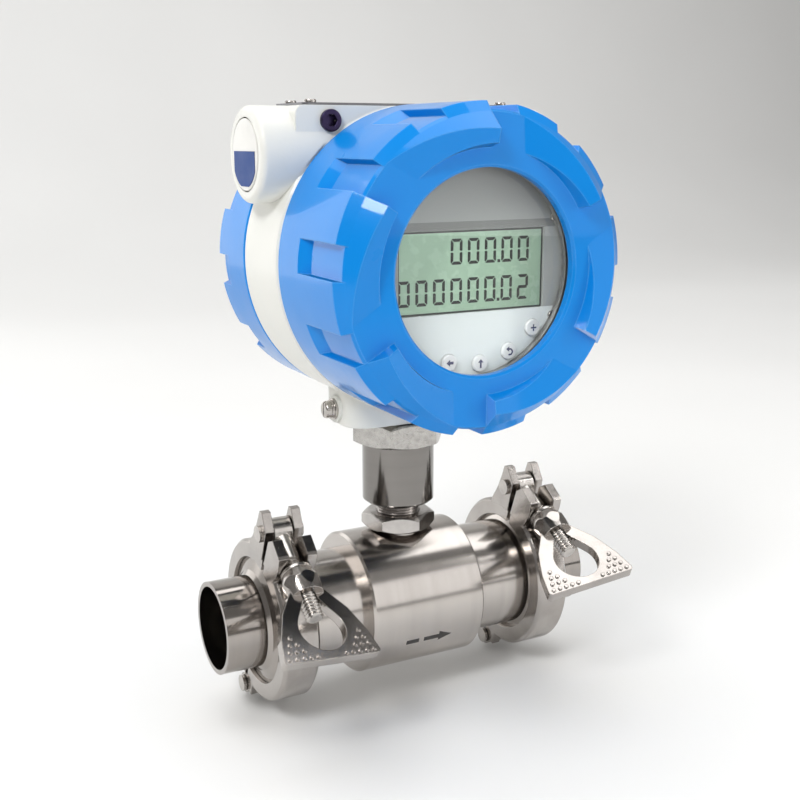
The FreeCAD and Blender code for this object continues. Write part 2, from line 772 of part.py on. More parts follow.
def key_places():
    middle = (key_count - 1) / 2
    places = []
    for k in range(key_count):
        angle = math.radians(key_middle + (k - middle) * key_pitch)
        places.append((key_ring_r * math.cos(angle), housing_z + key_ring_r * math.sin(angle)))
    return places


def panel_screw_places():
    places = []
    for angle in (panel_screw_angle, 180 - panel_screw_angle, 180 + panel_screw_angle, -panel_screw_angle):
        a = math.radians(angle)
        places.append((panel_screw_ring_r * math.cos(a), housing_z + panel_screw_ring_r * math.sin(a)))
    return places


lcd_z = housing_z - lcd_drop


def display_panel():
    panel = rod(panel_r, (0, panel_front, housing_z), (0, panel_back, housing_z))
    half_w = lcd_width / 2 + lcd_clearance
    half_h = lcd_height / 2 + lcd_clearance
    panel = panel.cut(box((-half_w, panel_front, lcd_z - half_h), (half_w, panel_back, lcd_z + half_h)))
    for x, z in key_places():
        panel = panel.cut(rod(key_r + key_clearance, (x, panel_front, z), (x, panel_back, z)))
    for x, z in panel_screw_places():
        panel = panel.cut(rod(panel_screw_r * 0.75, (x, panel_front, z), (x, panel_back, z)))
    return panel


def display_can():
    """Cup behind the panel, standing on the bulkhead."""
    can = rod(can_r, (0, panel_front + 0.2, housing_z), (0, bulkhead_front, housing_z))
    can = can.cut(rod(panel_r + slip_clearance, (0, panel_front, housing_z), (0, panel_back, housing_z)))
    can = can.cut(rod(can_r - can_wall - 1.5, (0, panel_front, housing_z),
                      (0, bulkhead_front - can_wall, housing_z)))
    for x, z in panel_screw_places():
        can = can.fuse(rod(panel_screw_r + 1.2, (x, panel_back, z), (x, bulkhead_front, z)))
        can = can.cut(rod(panel_screw_r * 0.75, (x, panel_back, z), (x, panel_back + panel_screw_length, z)))
    return can.removeSplitter()


def key(place):
    x, z = place
    tip = panel_front - key_height
    back = panel_back + slip_clearance
    cap = rod(key_r, (x, tip, z), (x, back, z))
    cap = cap.makeFillet(0.5, [e for e in cap.Edges if abs(e.CenterOfMass.y - tip) < 1e-6])
    return cap.fuse(rod(key_r + 2 * key_clearance, (x, back, z), (x, back + key_flange, z)))


def display_board():
    board = rod(can_r - can_wall - 2.2, (0, board_front, housing_z),
                (0, board_front + board_thickness, housing_z))
    for x, z in panel_screw_places():
        board = board.cut(rod(panel_screw_r + 1.7, (x, board_front, z),
                              (x, board_front + board_thickness, z)))
    return board


def screws(places, head_r, head_height, shank_r, shank_length, away):
    """Round-headed screws whose heads stand on a face; away is the head's direction."""
    made = []
    for place in places:
        base = Vector(*place)
        out = base + away * head_height
        head = Part.makeCylinder(head_r, head_height, base, away)
        head = head.makeFillet(head_height * 0.45, [e for e in head.Edges
                                                    if (e.CenterOfMass - out).Length < 1e-3])
        shank = Part.makeCylinder(shank_r, shank_length, base, away * -1)
        slot = box((-head_r, -head_height * 0.16, 0), (head_r, head_height * 0.16, head_height * 0.5))
        slot.Placement = Placement(out - away * (head_height * 0.5), Rotation(Z, away))
        made.append(head.fuse(shank).cut(slot).removeSplitter())
    return Part.makeCompound(made)


keep("display_panel", display_panel())
keep("display_can", display_can())
keep("lcd_glass", box((-lcd_width / 2, panel_front + lcd_recess, lcd_z - lcd_height / 2),
                      (lcd_width / 2, panel_front + lcd_thickness, lcd_z + lcd_height / 2)))
keep("display_board", display_board())
keep("panel_screws", screws([(x, panel_front, z) for x, z in panel_screw_places()], panel_screw_r,
                            panel_screw_head, panel_screw_r * 0.7, panel_screw_length, Vector(0, -1, 0)))
for index, place in enumerate(key_places()):
    keep(f"key_{index + 1}", key(place))


# ---------------------------------------------------------------- terminal compartment
def terminal_board():
    plate = rod(terminal_board_r, (0, terminal_front, housing_z), (0, terminal_back, housing_z))
    return plate


def board_posts():
    posts = []
    for k in range(post_count):
        a = math.radians(360.0 / post_count * (k + 0.5) + 90)
        x = post_ring_r * math.cos(a)
        z = housing_z + post_ring_r * math.sin(a)
        posts.append(rod(post_r, (x, bulkhead_back, z), (x, terminal_front, z)))
    return Part.makeCompound(posts)


def terminal_places():
    pitch = terminal_size[0] / terminal_count
    z = terminal_z + terminal_screw_rise
    return [(pitch * (k + 0.5) - terminal_size[0] / 2, z, pitch * 0.3) for k in range(terminal_count)]


def terminal_block():
    wide, deep, high = terminal_size
    low = terminal_z - high / 2
    mouth = terminal_back + deep
    floor = terminal_back + terminal_floor
    block = box((-wide / 2, terminal_back, low), (wide / 2, mouth, low + high))
    for x, z, hole_r in terminal_places():
        block = block.cut(rod(hole_r, (x, mouth, z), (x, floor, z)))
        block = block.cut(box((x - hole_r, floor, low),
                              (x + hole_r, mouth - terminal_floor, low + terminal_floor)))
    return block


def terminal_screws():
    floor = terminal_back + terminal_floor
    top = terminal_back + terminal_size[1] - terminal_screw_rise
    return Part.makeCompound([rod(hole_r - slip_clearance, (x, floor, z), (x, top, z))
                              for x, z, hole_r in terminal_places()])


keep("terminal_board", terminal_board())
keep("board_posts", board_posts())
keep("terminal_block", terminal_block())
keep("terminal_screws", terminal_screws())


# ---------------------------------------------------------------- fittings on the housing
def nameplate():
    wide, deep, thick = nameplate_size
    plate = box((-wide / 2, -deep / 2, shoulder_z), (wide / 2, deep / 2, shoulder_z + thick))
    corners = [e for e in plate.Edges if abs(e.tangentAt(e.FirstParameter).z) > 0.9]
    plate = plate.makeFillet(1.5, corners)
    for x, y in nameplate_holes():
        plate = plate.cut(rod(small_screw_r * 0.6, (x, y, shoulder_z), (x, y, shoulder_z + thick)))
    return plate


plug_seat = entry_reach - entry_seat_depth + plug_seal_height
plug_face = plug_seat + plug_head_height


def cable_plug():
    """Blanking plug in the inlet-side cable entry, its round head sunk in the counterbore."""
    head = rod(plug_head_r, (-plug_face, 0, entry_z), (-plug_seat, 0, entry_z))
    rim = [e for e in head.Edges if abs(e.CenterOfMass.x + plug_face) < 1e-6]
    head = head.makeFillet(edge_break / 2, rim)
    shank = rod(entry_hole_r - thread_clearance, (-plug_seat, 0, entry_z),
                (plug_shank_length - plug_seat, 0, entry_z))
    return union([head, shank]).cut(insert_block(0.0))


def insert_block(proud):
    """Coloured label let into the lower part of the plug's head."""
    low = plug_insert_depth - plug_face
    block = box((-plug_face - proud, -plug_insert_half, entry_z + plug_insert_bottom),
                (low, plug_insert_half, entry_z + plug_insert_top))
    return block.common(rod(plug_head_r - plug_rim, (-plug_face - proud, 0, entry_z), (low, 0, entry_z)))


keep("nameplate", nameplate())
keep("nameplate_screws", screws([(x, y, shoulder_z + nameplate_size[2]) for x, y in nameplate_holes()],
                                small_screw_r, small_screw_head, small_screw_r * 0.55, small_screw_length,
                                Z))
keep("cable_plug", cable_plug())
keep("plug_insert", insert_block(plug_insert_proud))
keep("plug_seal", pipe(plug_head_r, entry_hole_r, (-plug_seat, 0, entry_z),
                       (plug_seal_height - plug_seat, 0, entry_z)))


def lock_screw():
    """Low socket-headed screw beside the front cover's rim."""
    x, z = lock_screw_place()
    top = shoulder_face - lock_screw_head
    head = rod(lock_screw_r, (x, top, z), (x, shoulder_face, z))
    head = head.makeFillet(edge_break / 2, [e for e in head.Edges if abs(e.CenterOfMass.y - top) < 1e-6])
    shank = rod(lock_screw_r * 0.55, (x, shoulder_face, z), (x, shoulder_face + lock_screw_length, z))
    socket = spun(hexagon(lock_screw_r, 0, lock_screw_head + 1), 90, ORIGIN, X)
    socket = moved(socket, (x, top + lock_screw_head + 1, z))
    return head.fuse(shank).cut(socket).removeSplitter()


keep("lock_screw", lock_screw())
keep("ground_screw", screws([(ground_face - 2 * washer_height, 0, ground_z)], ground_screw_r,
                            ground_screw_head,
                            ground_screw_r * 0.5, ground_screw_length, Vector(-1, 0, 0)))
keep("ground_washers", Part.makeCompound([
    pipe(washer_r - washer_step * k, ground_screw_r * 0.55,
         (ground_face - (k + 1) * washer_height, 0, ground_z),
         (ground_face - k * washer_height - slip_clearance, 0, ground_z)) for k in range(2)]))


# ---------------------------------------------------------------- clamps
# Each clamp is modelled about its own centre: axis X, closure on +Z, wing nut side on -Y.
def clamp_ring():
    half = clamp_width / 2
    rim = gasket_thickness / 2 + flange_rim + clamp_fit
    lip = rim + (flange_r - clamp_lip_r) * taper
    groove = flange_r + clamp_groove_gap
    profile = [(-half, clamp_lip_r), (-half, clamp_r - 1.0), (-half + 1.0, clamp_r), (half - 1.0, clamp_r),
               (half, clamp_r - 1.0), (half, clamp_lip_r), (lip, clamp_lip_r), (rim, groove),
               (-rim, groove), (-lip, clamp_lip_r)]
    return turned(profile, X)


def half_space(sign):
    reach = 80.0
    if sign > 0:
        return box((-reach, clamp_split, -reach), (reach, reach, reach))
    return box((-reach, -reach, -reach), (reach, -clamp_split, reach))


def ear(outline, x0, x1):
    return polygon([(x0, y, z) for y, z in outline]).extrude(Vector(x1 - x0, 0, 0))


def rear_ears():
    """Two upright plates beside the bolt's eye, rounded at the top."""
    base = clamp_r - 3.0
    outline = [(clamp_split, base), (clamp_split, rear_ear_top - 4.5), (eye_side + 1.0, rear_ear_top),
               (eye_side + 3.0, rear_ear_top - 0.5), (eye_side + 3.5, rear_ear_top - 5.0),
               (rear_ear_reach, eye_height - 2.0), (rear_ear_reach + 3.0, base - 2.0)]
    plates = [ear(outline, side * ear_span, side * (ear_span - ear_thickness)) for side in (-1, 1)]
    web = ear([(clamp_split, base), (rear_ear_reach + 3.0, base - 2.0), (rear_ear_reach + 1.5, base + 3.6),
               (clamp_split, base + 3.6)], -ear_span, ear_span)
    return plates + [web.cut(rod(eye_r + 0.5, (-10, eye_side, eye_height), (10, eye_side, eye_height)))]


def front_ears():
    """Two lugs either side of the bolt, with faces rounded about the bolt's pivot."""
    base = clamp_r - 3.5
    reach = seat_radius + 2.0
    outline = [(-clamp_split, base), (-clamp_split - 1.0, front_ear_top - 2.8), (-eye_side, front_ear_top),
               (-10.8, front_ear_top - 2.0), (-reach, front_ear_top - 7.3), (-reach, base - 8.0),
               (-9.0, base - 3.0)]
    round_face = rod(seat_radius, (-ear_span - 1, eye_side, eye_height),
                     (ear_span + 1, eye_side, eye_height))
    slot_half = bolt_r + ear_slot_gap
    plates = [ear(outline, side * ear_span, side * slot_half) for side in (-1, 1)]
    web = ear([(-clamp_split, base), (-clamp_split, base + 3.0), (-6.0, base + 1.5), (-reach, base - 4.5),
               (-reach, base - 8.0), (-9.0, base - 3.0)], -ear_span, ear_span)
    return [shape.common(round_face) for shape in plates + [web]]


def groove_clear():
    """The room inside the ring that ears and knuckles must not fill."""
    return rod(clamp_r - 1.5, (-10, 0, 0), (10, 0, 0))


def clamp_half(sign):
    ring = clamp_ring().common(half_space(sign))
    ears = rear_ears() if sign > 0 else front_ears()
    pieces = [e.cut(groove_clear()) for e in ears]
    hinge = (0, 0, -hinge_drop)
    if sign > 0:
        knuckles = [(-knuckle_half, knuckle_half)]
    else:
        knuckles = [(-clamp_width / 2, -knuckle_half - knuckle_gap),
                    (knuckle_half + knuckle_gap, clamp_width / 2)]
    for x0, x1 in knuckles:
        barrel = rod(knuckle_r, (x0, 0, -hinge_drop), (x1, 0, -hinge_drop))
        arm = box((x0, 0, -hinge_drop), (x1, knuckle_r + 2.5, -clamp_r + 3.5))
        if sign < 0:
            arm = box((x0, -knuckle_r - 2.5, -hinge_drop), (x1, 0, -clamp_r + 3.5))
        arm = arm.common(rod(hinge_drop + knuckle_r, (-clamp_width, 0, 0), (clamp_width, 0, 0)))
        pieces.append(barrel.fuse(arm).cut(groove_clear()))
    half = union([ring] + pieces)
    for x0, x1 in ([(knuckle_half, clamp_width), (-clamp_width, -knuckle_half)] if sign > 0
                   else [(-knuckle_half - knuckle_gap, knuckle_half + knuckle_gap)]):
        half = half.cut(rod(knuckle_r + knuckle_gap, (x0, 0, -hinge_drop), (x1, 0, -hinge_drop)))
    half = half.cut(rod(hinge_pin_r + pin_clearance, (-clamp_width, 0, -hinge_drop),
                        (clamp_width, 0, -hinge_drop)))
    if sign > 0:
        half = half.cut(rod(hinge_pin_r, (-clamp_width, eye_side, eye_height),
                            (clamp_width, eye_side, eye_height)))
    return half.removeSplitter()


def headed_pin(y, z, reach):
    """A pin along X with a low head at each end."""
    shank = rod(hinge_pin_r, (-reach, y, z), (reach, y, z))
    heads = [rod(pin_head_r, (side * reach, y, z), (side * (reach + pin_head_height), y, z))
             for side in (-1, 1)]
    return union([shank] + heads)


eye_centre = Vector(0, eye_side, eye_height)


def on_bolt(shape):
    """Place a shape made along +Z from the origin onto the swing bolt's axis; its X stays X."""
    copy = shape.copy()
    copy.rotate(ORIGIN, X, 90 + bolt_tilt)
    copy.translate(eye_centre)
    return copy


def swing_bolt():
    eye_half = ear_span - ear_thickness - ear_slot_gap
    eye = rod(eye_r, (-eye_half, 0, 0), (eye_half, 0, 0))
    root = bolt_r - 0.62 * bolt_thread_pitch
    thread_start = seat_radius - 4.0
    turns = int((bolt_length - thread_start) / bolt_thread_pitch)
    profile = [(0, 0), (0, bolt_r), (thread_start, bolt_r)]
    for k in range(turns):
        low = thread_start + k * bolt_thread_pitch
        profile += [(low + bolt_thread_pitch / 2, root), (low + bolt_thread_pitch, bolt_r)]
    end = thread_start + turns * bolt_thread_pitch
    profile += [(end + 0.6, root), (end + 0.6, 0)]
    shank = turned(profile, Z)
    bolt = eye.fuse(shank)
    return on_bolt(bolt.cut(rod(hinge_pin_r + pin_clearance, (-10, 0, 0), (10, 0, 0))))


def nut_washer():
    start = seat_radius + nut_gap
    return on_bolt(pipe(nut_washer_r, bolt_r + nut_bore_clearance, (0, 0, start),
                        (0, 0, start + nut_washer_height)))


def wing_nut(turn):
    """Faceted boss with a plate that flares to a straight bar, and a finger hole through the plate."""
    boss = turned([(nut_start, 0), (nut_start, nut_face_r), (nut_start + nut_flare, nut_boss_r),
                   (boss_end, nut_boss_r - edge_break), (boss_end, 0)], Z)
    boss = boss.common(hexagon(2 * nut_boss_r * 0.92, nut_start, boss_end))
    half = wing_thickness / 2
    flare = [(wing_root, 0.0), (0.68 * wing_half, 0.35 * wing_length),
             (0.89 * wing_half, 0.68 * wing_length),
             (wing_half, wing_length)]
    right = [(x, -half, wing_start + along) for x, along in flare]
    left = [(-x, y, z) for x, y, z in reversed(right)]
    plate = polygon(right + left).extrude(Vector(0, wing_thickness, 0))
    corners = [e for e in plate.Edges if abs(e.tangentAt(e.FirstParameter).y) > 0.9
               and e.CenterOfMass.z > wing_start + 1]
    plate = plate.makeFillet(wing_corner_r, corners)
    nut = boss.fuse(plate).cut(finger_hole(half))
    dots = [rod(dimple_r, (x, -half - dimple_height, z), (x, half + dimple_height, z))
            for x, z in dimple_places()]
    nut = nut.multiFuse(dots)
    nut = nut.cut(rod(bolt_r + nut_bore_clearance, (0, 0, 0), (0, 0, boss_end + hole_start + hole_small_r)))
    return on_bolt(spun(nut.removeSplitter(), turn, ORIGIN, Z))


def finger_hole(half):
    """Pear-shaped hole through the plate: narrow by the boss, wide and round towards the bar."""
    near = boss_end + hole_start + hole_small_r
    far = wing_end - wing_bar - hole_wide_r
    lean = math.asin((hole_wide_r - hole_small_r) / (far - near))
    side = Vector(math.cos(lean), 0, -math.sin(lean))
    mirror = Vector(-side.x, 0, side.z)
    start = Vector(0, -half - 1, near)
    end = Vector(0, -half - 1, far)
    web = polygon([start + side * hole_small_r, start + mirror * hole_small_r,
                   end + mirror * hole_wide_r, end + side * hole_wide_r])
    rounds = [rod(hole_small_r, start, start + Y * (2 * half + 2)),
              rod(hole_wide_r, end, end + Y * (2 * half + 2))]
    return web.extrude(Y * (2 * half + 2)).multiFuse(rounds)


def dimple_places():
    """Grip dots in rows above the bar, fewer in each row towards the boss."""
    places = []
    for row, count in enumerate(dimple_rows):
        for k in range(count):
            x = wing_half - dimple_inset - row * dimple_shift - k * dimple_pitch
            places += [(side * x, wing_end - dimple_edge - row * dimple_pitch) for side in (-1, 1)]
    return places


def dress(shape, end, side):
    """Turn a clamp piece to its closure angle and put it on its pair of flanges."""
    return moved(spun(shape, clamp_turns[end], ORIGIN, X), (side * gasket_plane, 0, 0))


for end, side in (("inlet", -1), ("outlet", 1)):
    keep(f"{end}_clamp_rear_half", dress(clamp_half(1), end, side))
    keep(f"{end}_clamp_front_half", dress(clamp_half(-1), end, side))
    keep(f"{end}_clamp_swing_bolt", dress(swing_bolt(), end, side))
    keep(f"{end}_clamp_nut_washer", dress(nut_washer(), end, side))
    keep(f"{end}_clamp_wing_nut", dress(wing_nut(wing_turns[end]), end, side))


ENDS = (("inlet", -1), ("outlet", 1))
keep("clamp_hinge_pins", Part.makeCompound([
    dress(headed_pin(0, -hinge_drop, clamp_width / 2 + knuckle_gap), end, side) for end, side in ENDS]))
keep("clamp_bolt_pins", Part.makeCompound([
    dress(headed_pin(eye_side, eye_height, ear_span), end, side) for end, side in ENDS]))


# ---------------------------------------------------------------- export
for name, shape in PARTS.items():
    placed = moved(shape, (half_length, 0, 0))
    placed.exportStep(f"parts/{name}.step")
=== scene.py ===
import math

import bpy
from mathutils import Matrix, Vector


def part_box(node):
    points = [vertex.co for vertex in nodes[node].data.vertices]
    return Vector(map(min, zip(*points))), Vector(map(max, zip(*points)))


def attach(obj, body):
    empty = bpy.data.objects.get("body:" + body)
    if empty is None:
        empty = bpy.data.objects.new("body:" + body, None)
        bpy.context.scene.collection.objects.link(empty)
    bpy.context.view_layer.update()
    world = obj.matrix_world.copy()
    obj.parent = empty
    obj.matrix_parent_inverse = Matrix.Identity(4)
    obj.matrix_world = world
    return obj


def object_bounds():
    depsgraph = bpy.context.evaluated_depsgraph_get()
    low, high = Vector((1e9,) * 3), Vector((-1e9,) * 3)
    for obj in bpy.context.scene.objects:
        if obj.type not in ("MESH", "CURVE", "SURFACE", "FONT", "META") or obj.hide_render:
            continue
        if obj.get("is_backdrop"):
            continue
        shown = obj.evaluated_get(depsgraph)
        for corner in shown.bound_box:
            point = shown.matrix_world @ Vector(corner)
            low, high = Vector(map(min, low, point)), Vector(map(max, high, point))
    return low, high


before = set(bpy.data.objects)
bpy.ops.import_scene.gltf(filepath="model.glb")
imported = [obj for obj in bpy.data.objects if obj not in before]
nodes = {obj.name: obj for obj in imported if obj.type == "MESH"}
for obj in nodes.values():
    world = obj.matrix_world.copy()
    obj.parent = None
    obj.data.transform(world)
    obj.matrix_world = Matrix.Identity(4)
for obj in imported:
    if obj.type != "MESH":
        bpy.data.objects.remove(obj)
cad_low, cad_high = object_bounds()
MM = 0.001

middle = (cad_low + cad_high) / 2
glass_low, glass_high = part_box("window_glass")
lcd_low, lcd_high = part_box("lcd_glass")
centre_x = (glass_low.x + glass_high.x) / 2
centre_z = (glass_low.z + glass_high.z) / 2

# rounding that the enamel and the castings show on their sharp edges
ENAMEL_EDGE = 0.7 * MM
CAST_EDGE = 0.4 * MM

# display film, measured up from the window's centre
STRIP_BOTTOM = 12.6 * MM
STRIP_TOP = 15.2 * MM
FADE_BOTTOM = 13.0 * MM
FADE_TOP = 34.0 * MM
WHITE_TOP = -12.8 * MM
RIM_RADIUS = 32.8 * MM
# half the span of the reflection painted across the LCD
LCD_SHEEN_HALF = 30.0 * MM

# print on the display, and a black frame painted as the shadow in the LCD's recess
DIGITS_RIGHT = 20.9 * MM      # right edge of both rows, from the window's centre
UPPER_ROW = 6.0 * MM
LOWER_ROW = -6.1 * MM
DIGIT_PITCH = 6.1 * MM
DIGIT_WIDE = 4.15 * MM
DIGIT_HIGH = 7.9 * MM
DIGIT_STROKE = 0.95 * MM
DIGIT_THICK = 0.05 * MM
# the black frame round the LCD is a painted shadow of its recess
RECESS_SHADOW_WIDE = 0.5 * MM
RECESS_SHADOW_THICK = 0.06 * MM
MARK_THICK = 0.03 * MM
KEY_UNIT = 0.62 * MM          # the key marks are drawn in this unit
ARROW_LEAN = 22.0             # degrees that the flow arrow sits below the body's front line


# ------------------------------------------------------------------ material helpers
class Shader:
    """A node tree being built for one material."""

    def __init__(self, name):
        self.material = bpy.data.materials.new(name)
        self.material.use_nodes = True
        self.tree = self.material.node_tree
        self.bsdf = self.tree.nodes["Principled BSDF"]
        self.place = self.add("ShaderNodeTexCoord").outputs["Object"]

    def add(self, kind, **settings):
        node = self.tree.nodes.new(kind)
        for key, value in settings.items():
            setattr(node, key, value)
        return node

    def join(self, a, b):
        self.tree.links.new(a, b)

    def feed(self, socket, value):
        """Put a link, a colour or a plain number into a socket."""
        if isinstance(value, tuple):
            socket.default_value = (*value, 1)
        elif isinstance(value, (int, float)):
            socket.default_value = value
        else:
            self.join(value, socket)

    def set(self, **values):
        for key, value in values.items():
            self.bsdf.inputs[key.replace("_", " ")].default_value = value

    def scaled(self, x, y, z):
        mapping = self.add("ShaderNodeMapping")
        mapping.inputs["Scale"].default_value = (x, y, z)
        self.join(self.place, mapping.inputs["Vector"])
        return mapping.outputs["Vector"]

    def split(self):
        node = self.add("ShaderNodeSeparateXYZ")
        self.join(self.place, node.inputs["Vector"])
        return node.outputs

    def noise(self, vector, scale, detail=4.0, rough=0.55):
        node = self.add("ShaderNodeTexNoise")
        node.inputs["Scale"].default_value = scale
        node.inputs["Detail"].default_value = detail
        node.inputs["Roughness"].default_value = rough
        self.join(vector, node.inputs["Vector"])
        return node.outputs["Fac"]

    def ramp(self, fac, stops):
        node = self.add("ShaderNodeValToRGB")
        ramp = node.color_ramp
        for element, (where, colour) in zip(ramp.elements, stops):
            element.position = where
            element.color = (*colour, 1)
        self.join(fac, node.inputs["Fac"])
        return node.outputs["Color"]

    def span(self, fac, low, high, start=0.0, end=1.0):
        """Map start..end of a value to low..high."""
        node = self.add("ShaderNodeMapRange")
        node.inputs["From Min"].default_value = start
        node.inputs["From Max"].default_value = end
        node.inputs["To Min"].default_value = low
        node.inputs["To Max"].default_value = high
        self.join(fac, node.inputs["Value"])
        return node.outputs["Result"]

    def maths(self, kind, a, b):
        node = self.add("ShaderNodeMath", operation=kind)
        self.feed(node.inputs[0], a)
        self.feed(node.inputs[1], b)
        return node.outputs["Value"]

    def mix(self, fac, a, b):
        """Mix two colours; a Mix node has one set of sockets for each kind of data."""
        node = self.add("ShaderNodeMix", data_type="RGBA")
        for name, kind, value in (("Factor", "VALUE", fac), ("A", "RGBA", a), ("B", "RGBA", b)):
            self.feed(next(s for s in node.inputs if s.name == name and s.type == kind), value)
        return next(s for s in node.outputs if s.type == "RGBA")

    def bump(self, height, strength, distance, normal=None):
        node = self.add("ShaderNodeBump")
        node.inputs["Strength"].default_value = strength
        node.inputs["Distance"].default_value = distance
        self.join(height, node.inputs["Height"])
        if normal is not None:
            self.join(normal, node.inputs["Normal"])
        return node.outputs["Normal"]

    def soft_edge(self, radius):
        """Normal that rounds sharp edges a little."""
        node = self.add("ShaderNodeBevel", samples=4)
        node.inputs["Radius"].default_value = radius
        return node.outputs["Normal"]

    def edge(self, soft):
        """How much painted edge highlight shows: 0.85 where the rounded normal turns on an edge, 0 on a flat."""
        turn = self.add("ShaderNodeVectorMath", operation="DOT_PRODUCT")
        self.join(soft, turn.inputs[0])
        self.join(self.add("ShaderNodeNewGeometry").outputs["Normal"], turn.inputs[1])
        return self.span(turn.outputs["Value"], 0.85, 0.0, 0.80, 0.985)

    def colour(self, socket):
        self.join(socket, self.bsdf.inputs["Base Color"])

    def roughness(self, socket):
        self.join(socket, self.bsdf.inputs["Roughness"])

    def normal(self, socket):
        self.join(socket, self.bsdf.inputs["Normal"])


def shaded(tone, share):
    return tuple(c * share for c in tone)


def enamel(name, light, dark, edge_highlight, rough, peel, coat):
    """Sprayed enamel: faint orange peel, slight tone drift, and a lighter colour painted along the edges as a
    highlight.
    """
    s = Shader(name)
    drift = s.noise(s.place, 18.0, 3.0)
    soft = s.soft_edge(ENAMEL_EDGE)
    # a lighter colour is painted on the rounded edges as a highlight
    s.colour(s.mix(s.edge(soft), s.ramp(drift, [(0.32, dark), (0.68, light)]), edge_highlight))
    fine = s.noise(s.place, 620.0, 2.0)
    s.roughness(s.span(s.noise(s.place, 60.0, 5.0), rough - 0.05, rough + 0.07, 0.3, 0.7))
    s.normal(s.bump(fine, peel, 0.0002, soft))
    s.set(Coat_Weight=coat, Coat_Roughness=0.05, Specular_IOR_Level=0.08)
    return s.material


def turned(name, tone, rough, axis, ring=2600.0):
    """Lathe-turned steel: fine rings round the axis, with smoky tone bands along it."""
    s = Shader(name)
    along = [2.0, 2.0, 2.0]
    along["XYZ".index(axis)] = ring
    rings = s.noise(s.scaled(*along), 1.0, 3.0, 0.7)
    cloud = s.noise(s.place, 34.0, 5.0)
    smear = [9.0, 9.0, 9.0]
    smear["XYZ".index(axis)] = 260.0
    bands = s.noise(s.scaled(*smear), 1.0, 4.0)
    mixed = s.maths("ADD", s.maths("MULTIPLY", bands, 0.5), s.maths("MULTIPLY", cloud, 0.5))
    s.colour(s.ramp(mixed, [(0.30, shaded(tone, 0.86)), (0.62, tone)]))
    streaks = s.maths("ADD", rings, s.maths("MULTIPLY", cloud, 0.4))
    s.roughness(s.span(streaks, rough - 0.03, rough + 0.06, 0.4, 1.0))
    s.normal(s.bump(rings, 0.05, 0.0001))
    s.set(Metallic=1.0, Anisotropic=0.3)
    return s.material


def cast(name, tone, rough, grain=900.0, lumps=120.0, depth=0.3):
    """Tumbled casting or bright metal part: fine grain over soft lumps."""
    s = Shader(name)
    fine = s.noise(s.place, grain, 4.0, 0.65)
    soft = s.noise(s.place, lumps, 4.0)
    s.colour(s.ramp(soft, [(0.30, shaded(tone, 0.80)), (0.60, tone)]))
    s.roughness(s.span(fine, rough - 0.04, rough + 0.07, 0.3, 0.7))
    height = s.maths("ADD", s.maths("MULTIPLY", fine, 0.12), soft)
    s.normal(s.bump(height, depth, 0.0005, s.soft_edge(CAST_EDGE)))
    s.set(Metallic=1.0)
    return s.material


def moulded(name, tone, rough, grain=700.0, depth=0.15, coat=0.0, shine=0.5):
    """Moulded plastic, rubber or print with a fine texture and slight tone drift."""
    s = Shader(name)
    drift = s.noise(s.place, 45.0, 3.0)
    s.colour(s.ramp(drift, [(0.3, shaded(tone, 0.86)), (0.7, tone)]))
    s.roughness(s.span(s.noise(s.place, 150.0, 3.0), rough - 0.05, rough + 0.06, 0.3, 0.7))
    s.normal(s.bump(s.noise(s.place, grain, 2.0), depth, 0.0002))
    s.set(Coat_Weight=coat, Specular_IOR_Level=shine)
    return s.material


def window_glass():
    """Clear glass with a faint smear in its gloss."""
    s = Shader("window glass")
    smear = s.noise(s.place, 35.0, 4.0)
    s.roughness(s.span(smear, 0.0, 0.02, 0.35, 0.7))
    s.colour(s.ramp(smear, [(0.3, (0.97, 0.99, 0.985)), (0.7, (1.0, 1.0, 1.0))]))
    s.set(Transmission_Weight=1.0, IOR=1.45)
    return s.material


def display_film():
    """Printed film: grey fade over the LCD, a darker strip above it, white below, textured rim."""
    s = Shader("display film")
    place = s.split()
    side = s.maths("SUBTRACT", place["X"], centre_x)
    level = s.maths("SUBTRACT", place["Z"], centre_z)
    grey = s.ramp(s.span(level, 0.0, 1.0, FADE_BOTTOM, FADE_TOP),
                  [(0.0, (0.36, 0.38, 0.37)), (1.0, (0.22, 0.23, 0.22))])
    white = s.ramp(s.noise(s.place, 30.0, 2.0), [(0.3, (0.71, 0.765, 0.765)), (0.7, (0.735, 0.79, 0.79))])
    tone = s.mix(s.maths("GREATER_THAN", level, WHITE_TOP), white, grey)
    strip = s.maths("MULTIPLY", s.maths("GREATER_THAN", level, STRIP_BOTTOM),
                    s.maths("LESS_THAN", level, STRIP_TOP))
    tone = s.mix(strip, tone, (0.19, 0.20, 0.19))
    square = s.maths("ADD", s.maths("MULTIPLY", side, side), s.maths("MULTIPLY", level, level))
    rim = s.ramp(s.noise(s.place, 420.0, 3.0), [(0.35, (0.26, 0.27, 0.25)), (0.65, (0.40, 0.41, 0.39))])
    s.colour(s.mix(s.maths("GREATER_THAN", square, RIM_RADIUS ** 2), tone, rim))
    s.roughness(s.span(s.noise(s.place, 120.0, 2.0), 0.30, 0.38, 0.3, 0.7))
    s.normal(s.bump(s.noise(s.place, 900.0, 2.0), 0.05, 0.0001))
    return s.material


